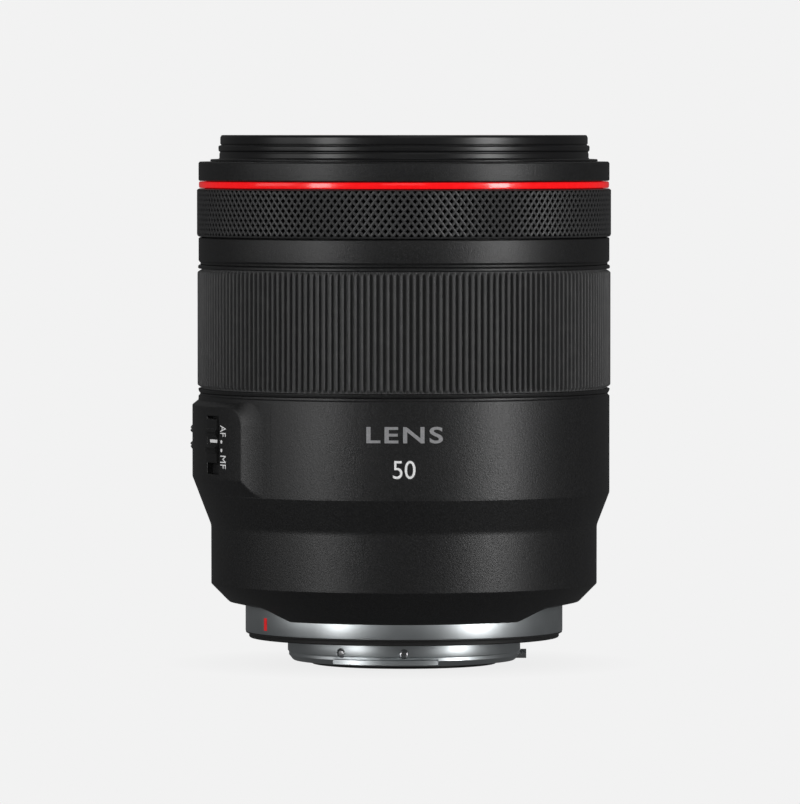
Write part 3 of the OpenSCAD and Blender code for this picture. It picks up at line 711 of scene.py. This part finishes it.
def knob(name, th, node, body):
    z0, z1 = 37.63, 47.17
    c = (z0 + z1) / 2
    base = 46.15
    P = [(44.87, z0), (base - 0.3, z0), (base - 0.06, z0 + 0.12), (base, z0 + 0.32), (base, c - 2.66),
         (base + 0.16, c - 2.56), (base + 0.20, c - 2.44), (base + 0.40, c - 2.18), (base + 0.42, c - 1.98),
         (base + 0.26, c - 1.80), (base + 0.26, c - 1.72), (base + 0.46, c - 1.52), (base + 0.46, c - 1.32), (base + 0.28, c - 1.14),
         (base - 0.10, c - 0.74), (base - 0.18, c - 0.60), (base - 0.18, c + 0.60), (base - 0.10, c + 0.74),
         (base + 0.28, c + 1.14), (base + 0.46, c + 1.32), (base + 0.46, c + 1.52), (base + 0.26, c + 1.72), (base + 0.26, c + 1.80),
         (base + 0.42, c + 1.98), (base + 0.40, c + 2.18), (base + 0.20, c + 2.44), (base + 0.16, c + 2.56),
         (base, c + 2.66), (base, z1 - 0.32), (base - 0.06, z1 - 0.12), (base - 0.3, z1), (44.87, z1)]
    V1, F1 = arc_solid(P, th - 3.28, th + 3.28, 26)
    # pull the two end outlines in, so that the ends are bevelled
    m = len(P)
    V1 = np.array(V1)
    for i, s in ((0, 0.55), (25, 0.55)):
        for j in range(m):
            v = V1[i * m + j]
            r = math.hypot(v[0], v[1])
            nr = 44.87 + (min(r, base + 0.2) - 44.87) * s
            V1[i * m + j, 0] *= nr / r
            V1[i * m + j, 1] *= nr / r
    ob = make(name, V1, F1, body, KNOB, [], smooth=34.0)
    # stem and slide plate inside the barrel
    s = NODES[node]
    s.data.materials.clear()
    s.data.materials.append(KNOB)
    mark = arc_solid([(base - 0.20, c - 0.33), (base - 0.13, c - 0.33), (base - 0.13, c + 0.33), (base - 0.20, c + 0.33)],
                     th - 1.2, th + 3.0, 8)
    make(name + "_mark", mark[0], mark[1], body, WHITE, [])
    return ob




def knob_stem(name, th, node, body):
    """Stem and slide plate of a switch, below its cap."""
    c = 42.4
    parts_v, parts_f = [], []
    a = math.radians(th)
    rad = Vector((math.sin(a), -math.cos(a), 0))
    tan = Vector((math.cos(a), math.sin(a), 0))
    for (r0, r1, w, h) in ((42.62, 44.86, 1.66, 1.95), (42.02, 42.60, 3.1, 3.4)):
        base = len(parts_v)
        for r in (r0, r1):
            for (x, y) in ((-w, -h), (w, -h), (w, h), (-w, h)):
                p = rad * math.sqrt(max(r * r - x * x, 0)) + tan * x
                parts_v.append((p.x, p.y, c + y))
        parts_f += [[base + k for k in f] for f in
                    ([0, 1, 2, 3], [7, 6, 5, 4], [0, 4, 5, 1], [1, 5, 6, 2], [2, 6, 7, 3], [3, 7, 4, 0])]
    ob = make(name, parts_v, parts_f, body, KNOB, [])
    bev = ob.modifiers.new("round", "BEVEL")
    bev.width = 0.00018
    bev.segments = 2
    return ob


for tag, th, node, body in (("mode_knob", MODE_TH, "focus_mode_switch", "mode_slider"),
                            ("limit_knob", LIMIT_TH, "limiter_switch", "limit_slider")):
    k = knob(tag, th, node, body)
    knob_stem(tag + "_stem", th, node, body)
    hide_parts(node)


# ---------------------------------------------------------------- lettering
def lettering(name, text, size, place, body, mat, space=1.0, squeeze=1.0, thick=0.03, weight=0.0):
    """Flat letters cut from the built-in font, laid on a curved face as thin solids.
    place(x, y, d) gives the point for a letter point in millimetres and a height d."""
    cu = bpy.data.curves.new(name, "FONT")
    cu.body = text
    cu.size = 1.0
    cu.align_x = "CENTER"
    cu.align_y = "CENTER"
    cu.space_character = space
    cu.offset = weight
    cu.extrude = 0.5
    cu.resolution_u = 6
    tmp = bpy.data.objects.new(name + "_tmp", cu)
    bpy.context.scene.collection.objects.link(tmp)
    dg = bpy.context.evaluated_depsgraph_get()
    me = bpy.data.meshes.new_from_object(tmp.evaluated_get(dg))
    bpy.data.objects.remove(tmp)
    bpy.data.curves.remove(cu)
    bm = bmesh.new()
    bm.from_mesh(me)
    bmesh.ops.remove_doubles(bm, verts=bm.verts[:], dist=1e-5)
    ys = [v.co.y for v in bm.verts]
    k = size / 0.70
    mid = (max(ys) + min(ys)) / 2
    for v in bm.verts:
        v.co.x *= k * squeeze
        v.co.y = (v.co.y - mid) * k
    xs = [v.co.x for v in bm.verts]
    x = min(xs) + 0.35
    while x < max(xs):
        geom = bm.verts[:] + bm.edges[:] + bm.faces[:]
        bmesh.ops.bisect_plane(bm, geom=geom, plane_co=(x, 0, 0), plane_no=(1, 0, 0), dist=1e-6)
        x += 0.35
    bmesh.ops.recalc_face_normals(bm, faces=bm.faces[:])
    for v in bm.verts:
        v.co = Vector(place(v.co.x, v.co.y, thick * (v.co.z + 0.5))) * 0.001
    bm.to_mesh(me)
    bm.free()
    me.materials.clear()
    me.materials.append(mat)
    ob = bpy.data.objects.new(name, me)
    bpy.context.scene.collection.objects.link(ob)
    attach(ob, body)
    return ob


def on_barrel(th0, z0, r):
    def place(x, y, d):
        a = math.radians(th0) + x / r
        return ((r + d) * math.sin(a), -(r + d) * math.cos(a), z0 + y)
    return place


def down_panel(th0, z0, r):
    """Letters that read towards the mount, with their tops towards the front centre line."""
    def place(x, y, d):
        a = math.radians(th0) + y / r
        return ((r + d) * math.sin(a), -(r + d) * math.cos(a), z0 - x)
    return place


def dot(name, th, z, r, rad, body, mat):
    pts = []
    n = 20
    for d in (0.0, 0.035):
        for k in range(n):
            x, y = rad * math.cos(TAU * k / n), rad * math.sin(TAU * k / n)
            a = math.radians(th) + x / r
            pts.append(((r + d) * math.sin(a), -(r + d) * math.cos(a), z + y))
    F = [list(range(n))[::-1], list(range(n, 2 * n))]
    F += [[k, (k + 1) % n, n + (k + 1) % n, n + k] for k in range(n)]
    return make(name, pts, F, body, mat, [])


lettering("mark_word", "LENS", 3.35, on_barrel(0, 44.55, 44.605), "barrel", SILVER,
          space=1.16, squeeze=1.42, weight=0.018)
lettering("mark_50", "50", 3.85, on_barrel(0, 37.2, 44.605), "barrel", WHITE, squeeze=0.94)
PR = PANEL_R + 0.004
lettering("mark_AF", "AF", 2.3, down_panel(-57.5, 44.65, PR), "barrel", WHITE, squeeze=0.66)
lettering("mark_MF", "MF", 2.3, down_panel(-57.5, 38.05, PR), "barrel", WHITE, squeeze=0.74)
dot("mark_dot_a", -58.3, 42.35, PR, 0.38, "barrel", WHITE)
dot("mark_dot_b", -58.3, 40.5, PR, 0.38, "barrel", WHITE)
lettering("mark_FULL", "FULL", 1.7, down_panel(-91.4, 45.0, PR), "barrel", WHITE, squeeze=0.72)
lettering("mark_far", "0.8m-∞", 1.5, down_panel(-91.4, 37.4, PR), "barrel", WHITE, space=1.12, squeeze=0.74)
dot("mark_dot_c", -92.3, 42.35, PR, 0.30, "barrel", WHITE)
dot("mark_dot_d", -92.3, 40.5, PR, 0.30, "barrel", WHITE)

# ---------------------------------------------------------------- mount end
LUGS = [(-36.2, 17.2), (110, 160), (-158, -110)]


def mount_profile(t):
    th = math.degrees(t)
    th = th - 360 if th > 180 else th
    lug = 0.0
    for a, b in LUGS:
        for s in (-360, 0, 360):
            d = min(th + s - a, b - (th + s))
            lug = max(lug, min(1.0, max(0.0, d / 1.2)))
    lr = 24.99 + (26.56 - 24.99) * lug
    c = 0.14 * lug
    low = 0.93 * lug
    return fil([
        (25.25, 0.88), (25.25, -2.2, 0.0), (25.25, -3.78, 0.08), (24.99, -3.88, 0.06), (24.98, -4.34, 0.0),
        (lr - c, -4.36), (lr, -4.36 - c), (lr, -4.66 - low + c), (lr - c, -4.68 - low), (24.24 - 0.1 * lug, -5.62),
        (24.0, -5.80, 0.06), (23.80, -5.80, 0.06), (23.62, -5.5),
        (23.62, 0.77), (24.68, 0.77), (24.68, 6.75), (34.42, 6.75, 0.05), (34.42, 0.54, 0.10), (34.28, 0.46, 0.02),
        (33.78, 0.46), (33.78, 1.18), (32.97, 1.18), (32.97, 0.0, 0.05), (27.02, 0.0, 0.05), (27.02, 0.88)], 2)


mount = lathe("mount_plate", mount_profile, "barrel", CHROME, ["mount_ring"], n=720)
tools = []
for a in (45, 135, 225, 315):
    tools.append(cylinder_tool(at(a, 30, 0.3), (0, 0, 1), 1.75, 2.2))
tools.append(cylinder_tool(at(115, 29.9, 0.5), (0, 0, 1), 1.6, 3.0))
for a, z in ((90, -4.6), (0, -3.15), (-32.5, -3.15)):
    tools.append(cylinder_tool(at(a, 25.4, z), at(a, 1, 0), 1.06, 4.5))
cut(mount, tools)

# The seal's outer lip reaches under the mount ring's rim; its black is partly the real gasket and partly a dark sheet
# put where the rim's underside is in shade.
lathe("dust_seal", fil([
    (33.02, 1.1), (33.02, -0.66, 0.1), (33.18, -0.88, 0.1), (33.50, -0.88, 0.12), (33.66, -0.66, 0.1),
    (33.66, 0.06, 0.04), (34.12, 0.08, 0.08), (34.36, 0.22, 0.08), (34.36, 0.43, 0.02),
    (33.74, 0.43), (33.74, 1.1)]), "barrel", SEAL, ["mount_gasket"], n=256)

lathe("rear_light_baffle", fil([
    (16.62, -6.64, 0.08), (19.95, -6.64, 0.15), (20.29, -6.30, 0.15), (20.29, -0.62), (19.37, -0.62), (19.37, -5.92), (16.62, -5.92, 0.06)]),
    "barrel", BAFFLE, [], n=256)
V, F = arc_solid([(20.3, -1.39), (23.38, -1.39), (23.38, -0.61), (20.3, -0.61)], -146.9, 146.9, 200)
fl = make("rear_baffle_flange", V, F, "barrel", BAFFLE, ["rear_baffle"])
cut(fl, [cylinder_tool(at(a, 21.9, -1.2), (0, 0, 1), 0.72, 3.0) for a in (-75, 0, 75)])

V, F = arc_solid(fil([(20.47, -5.12, 0.0), (20.66, -5.29, 0.1), (23.30, -5.29, 0.1), (23.49, -5.10, 0.1), (23.49, 0.6), (20.47, 0.6)]),
                 149.1, 210.9, 70)
make("contact_carrier", V, F, "barrel", CONTACT, ["contact_block"])

# domed heads with a slot, in the side of the bayonet
def dome_screw(t):
    V, F, n = [], [], 32
    c, e1, e2 = Vector(at(t, 1, 0)), Vector(at(t + 90, 1, 0)), Vector((0, 0, 1))
    rows = [(1.0, 23.85), (1.0, 24.86)]
    for k in range(1, 7):
        a = math.radians(35 * (1 - k / 7.0))
        rows.append((1.0 * math.sin(a) / math.sin(math.radians(35)), 25.19 - 1.743 * (1 - math.cos(a))))
    for rad, out in rows:
        for i in range(n):
            b = TAU * i / n
            v = c * out + e1 * (rad * math.cos(b)) + e2 * (rad * math.sin(b) - 3.15)
            V.append(tuple(v))
    for j in range(len(rows) - 1):
        for i in range(n):
            F.append([j * n + i, j * n + (i + 1) % n, (j + 1) * n + (i + 1) % n, (j + 1) * n + i])
    F.append(list(range(n))[::-1])
    F.append([(len(rows) - 1) * n + i for i in range(n)])
    return V, F


V, F = [], []
for t in (0, -32.5):
    v, f = dome_screw(t)
    F += [[i + len(V) for i in q] for q in f]
    V += v
heads = make("bayonet_screw_heads", V, F, "barrel", STEEL, ["bayonet_screws"])
cut(heads, [cylinder_tool(at(t, 25.21, -3.15), at(t + 90, 1, 0), 0.17, 1.5) for t in (0, -32.5)])

# red index line on the side of the mount ring
V, F = arc_solid([(34.40, 1.40), (34.47, 1.40), (34.47, 4.10), (34.40, 4.10)], -60.95, -58.95, 6)
make("mark_index", V, F, "barrel", REDINK)


# ---------------------------------------------------------------- glass and front cell
def sag(R, r):
    A = abs(R)
    return math.copysign(A - math.sqrt(A * A - r * r), R)


def lens(name, specs, body, mat, node):
    """Polished elements with fine spherical faces: (zf, zr, Rf, Rr, a) for each."""
    V, F = [], []
    n, m = 128, 18
    for zf, zr, Rf, Rr, a in specs:
        P = [(a * i / m, zf - sag(Rf, a * i / m)) for i in range(1, m + 1)]
        P += [(a * i / m, zr - sag(Rr, a * i / m)) for i in range(m, 0, -1)]
        base = len(V)
        for r, z in P:
            for k in range(n):
                t = TAU * k / n
                V.append((r * math.sin(t), -r * math.cos(t), z))
        V += [(0, 0, zf), (0, 0, zr)]
        top, bot = len(V) - 2, len(V) - 1
        L = len(P)
        for j in range(L - 1):
            for k in range(n):
                F.append([base + j * n + k, base + j * n + (k + 1) % n, base + (j + 1) * n + (k + 1) % n, base + (j + 1) * n + k])
        for k in range(n):
            F.append([top, base + k, base + (k + 1) % n])
            e = base + (L - 1) * n
            F.append([bot, e + (k + 1) % n, e + k])
    return make(name, V, F, body, mat, [node], smooth=28.0)


lens("glass_front", [(98, 87, 62, 400, 31.97)], "lens_group", GLASS_A, "front_element")
lens("glass_front_pair", [(86, 76.0, 70, -180, 29.47), (75.98, 74, -180, 60, 29.47)], "lens_group", GLASS_B, "front_doublet")
lens("glass_third", [(72, 64, 45, 200, 24.97)], "lens_group", GLASS_C, "third_element")
lens("glass_rear", [(-1.8, -4.6, 150, -200, 17.47)], "barrel", GLASS_B, "rear_element")
lens("glass_rear_pair", [(4, 0.6, 100, -300, 17.97), (0.58, -0.8, -300, 90, 17.97)], "barrel", GLASS_A, "rear_doublet")

lathe("name_plate", fil([
    (31.92, 89.37), (34.38, 89.37), (34.38, 96.07), (37.23, 96.07), (37.23, 98.25, 0.2), (36.93, 98.58, 0.2),
    (33.9, 98.58, 0.3), (33.3, 97.4, 0.1), (33.15, 97.35, 0.0), (33.0, 96.2, 0.05), (32.85, 96.15), (32.7, 95.0, 0.05), (32.55, 94.95), (32.4, 93.8, 0.05), (32.25, 93.75), (32.12, 92.4, 0.0), (31.92, 90.6, 0.1)]),
    "lens_group", BAFFLE, ["name_ring"], n=256)


def on_name_ring(th0, r0, z0):
    def place(x, y, d):
        a = math.radians(th0) + x / r0
        r = r0 - y
        return (r * math.sin(a), -r * math.cos(a), z0 + d)
    return place


for th0, text in ((180, "50mm  1:1.2"), (0, "LENS   Ø77")):
    lettering("mark_front_%d" % th0, text, 1.5, on_name_ring(th0, 35.4, 98.585), "lens_group", WHITE,
              squeeze=1.0, space=1.08)

# ---------------------------------------------------------------- finish of the CAD nodes that stay
KEEP = {
    "mount_screws": STEEL, "stop_pin": STEEL, "case_screws": STEEL, "contact_pins": GOLD,
    "rear_cell": BAFFLE, "main_board": BOARD, "flex_cable": FLEX, "guide_barrel": ALLOY, "usm_housing": ALLOY,
    "wave_spring": SPRING, "piezo_ring": PIEZO, "usm_stator": BRONZE, "usm_rotor": ALLOY, "cam_barrel": DARK_ALLOY,
    "cam_rollers": BRASS, "front_cell": BAFFLE, "stop_doublet": GLASS_A, "stop_cell": BAFFLE, "iris_housing": BAFFLE,
    "iris_drive_ring": SPRING, "iris_pinion": BRASS, "iris_motor": STEEL, "relay_cell": BAFFLE,
    "relay_triplet": GLASS_B, "relay_element": GLASS_C, "relay_doublet": GLASS_A, "detent_ball": SPRING,
    "detent_spring": SPRING}
for i in range(1, 11):
    KEEP["iris_blade_%02d" % i] = BLADE
for node, mat in KEEP.items():
    o = NODES[node]
    o.data.materials.clear()
    o.data.materials.append(mat)
for node in ("mount_screws", "case_screws", "contact_pins"):
    b = NODES[node].modifiers.new("round", "BEVEL")
    b.width = 0.00006
    b.segments = 2
    b.limit_method = "ANGLE"

# ---------------------------------------------------------------- stage, light, camera
sc = bpy.context.scene
sc.view_settings.view_transform = "Standard"
sc.view_settings.look = "None"

PAPER = 0.888


def floor():
    z = CAD_LO[2] - 0.00002
    me = bpy.data.meshes.new("floor")
    n, R = 96, 60.0
    me.from_pydata([(R * math.cos(TAU * k / n), R * math.sin(TAU * k / n), z) for k in range(n)], [], [list(range(n))])
    ob = bpy.data.objects.new("floor", me)
    bpy.context.scene.collection.objects.link(ob)
    m = bpy.data.materials.new("floor_paper_painted_contact_shadow")
    m.use_nodes = True
    t = m.node_tree
    t.nodes.clear()
    out = t.nodes.new("ShaderNodeOutputMaterial")
    em = t.nodes.new("ShaderNodeEmission")
    # painted shadow: ambient occlusion dims the emitting floor near the lens, a painted contact shadow; elsewhere the
    # floor is evenly bright
    ao = t.nodes.new("ShaderNodeAmbientOcclusion")
    ao.inputs["Distance"].default_value = 0.02
    ao.samples = 8
    ramp = t.nodes.new("ShaderNodeMapRange")
    ramp.inputs["From Min"].default_value = 0.0
    ramp.inputs["From Max"].default_value = 1.0
    ramp.inputs["To Min"].default_value = PAPER * 0.93
    ramp.inputs["To Max"].default_value = PAPER
    t.links.new(ao.outputs["AO"], ramp.inputs["Value"])
    t.links.new(ramp.outputs["Result"], em.inputs["Strength"])
    em.inputs["Color"].default_value = (1, 1, 1, 1)
    t.links.new(em.outputs[0], out.inputs["Surface"])
    me.materials.append(m)
    ob.visible_diffuse = False
    ob.visible_glossy = False
    ob.visible_transmission = True
    ob.visible_shadow = False


floor()

w = bpy.data.worlds.new("studio")
sc.world = w
w.use_nodes = True
t = w.node_tree
t.nodes.clear()
out = t.nodes.new("ShaderNodeOutputWorld")
mixs = t.nodes.new("ShaderNodeMixShader")
lp = t.nodes.new("ShaderNodeLightPath")
dim = t.nodes.new("ShaderNodeBackground")
dim.inputs["Color"].default_value = (0.98, 0.99, 1.0, 1)
dim.inputs["Strength"].default_value = 0.075
bright = t.nodes.new("ShaderNodeBackground")
bright.inputs["Color"].default_value = (1, 1, 1, 1)
bright.inputs["Strength"].default_value = PAPER
t.links.new(lp.outputs["Is Camera Ray"], mixs.inputs[0])
t.links.new(dim.outputs[0], mixs.inputs[1])
t.links.new(bright.outputs[0], mixs.inputs[2])
t.links.new(mixs.outputs[0], out.inputs["Surface"])


def softbox(name, azimuth, height, dist, width, tall, power, aim=0.05):
    """Area light at an azimuth from the camera side, aimed at the lens."""
    la = bpy.data.lights.new(name, "AREA")
    la.shape = "RECTANGLE"
    la.size = width
    la.size_y = tall
    la.energy = power
    ob = bpy.data.objects.new(name, la)
    bpy.context.scene.collection.objects.link(ob)
    a = math.radians(azimuth)
    ob.location = (dist * math.sin(a), -dist * math.cos(a), height)
    d = Vector((0, 0, aim)) - Vector(ob.location)
    ob.rotation_euler = d.to_track_quat("-Z", "Y").to_euler()
    return ob


softbox("soft_left", -47, 0.16, 1.1, 0.24, 0.68, 3.25)
softbox("soft_right", 54, 0.16, 1.1, 0.24, 0.68, 5.6)
softbox("soft_side", -77, 0.27, 1.1, 0.50, 0.66, 1.0)
softbox("soft_front", 0, 0.9, 2.4, 1.0, 0.7, 1.6)
softbox("soft_top", 15, 1.7, 1.2, 1.0, 1.0, 1.6)
softbox("soft_back", 180, 1.5, 1.2, 1.6, 0.8, 6.0)

cam = bpy.data.cameras.new("camera")
cam.lens = 350.8
cam.sensor_width = 36.0
cam.shift_x = -4.0 / 804.0
cam.clip_end = 200.0
cob = bpy.data.objects.new("camera", cam)
bpy.context.scene.collection.objects.link(cob)
cob.location = (0.0, -1.70, 0.108)
cob.rotation_euler = (math.radians(90 - 1.952), 0, 0)
sc.camera = cob
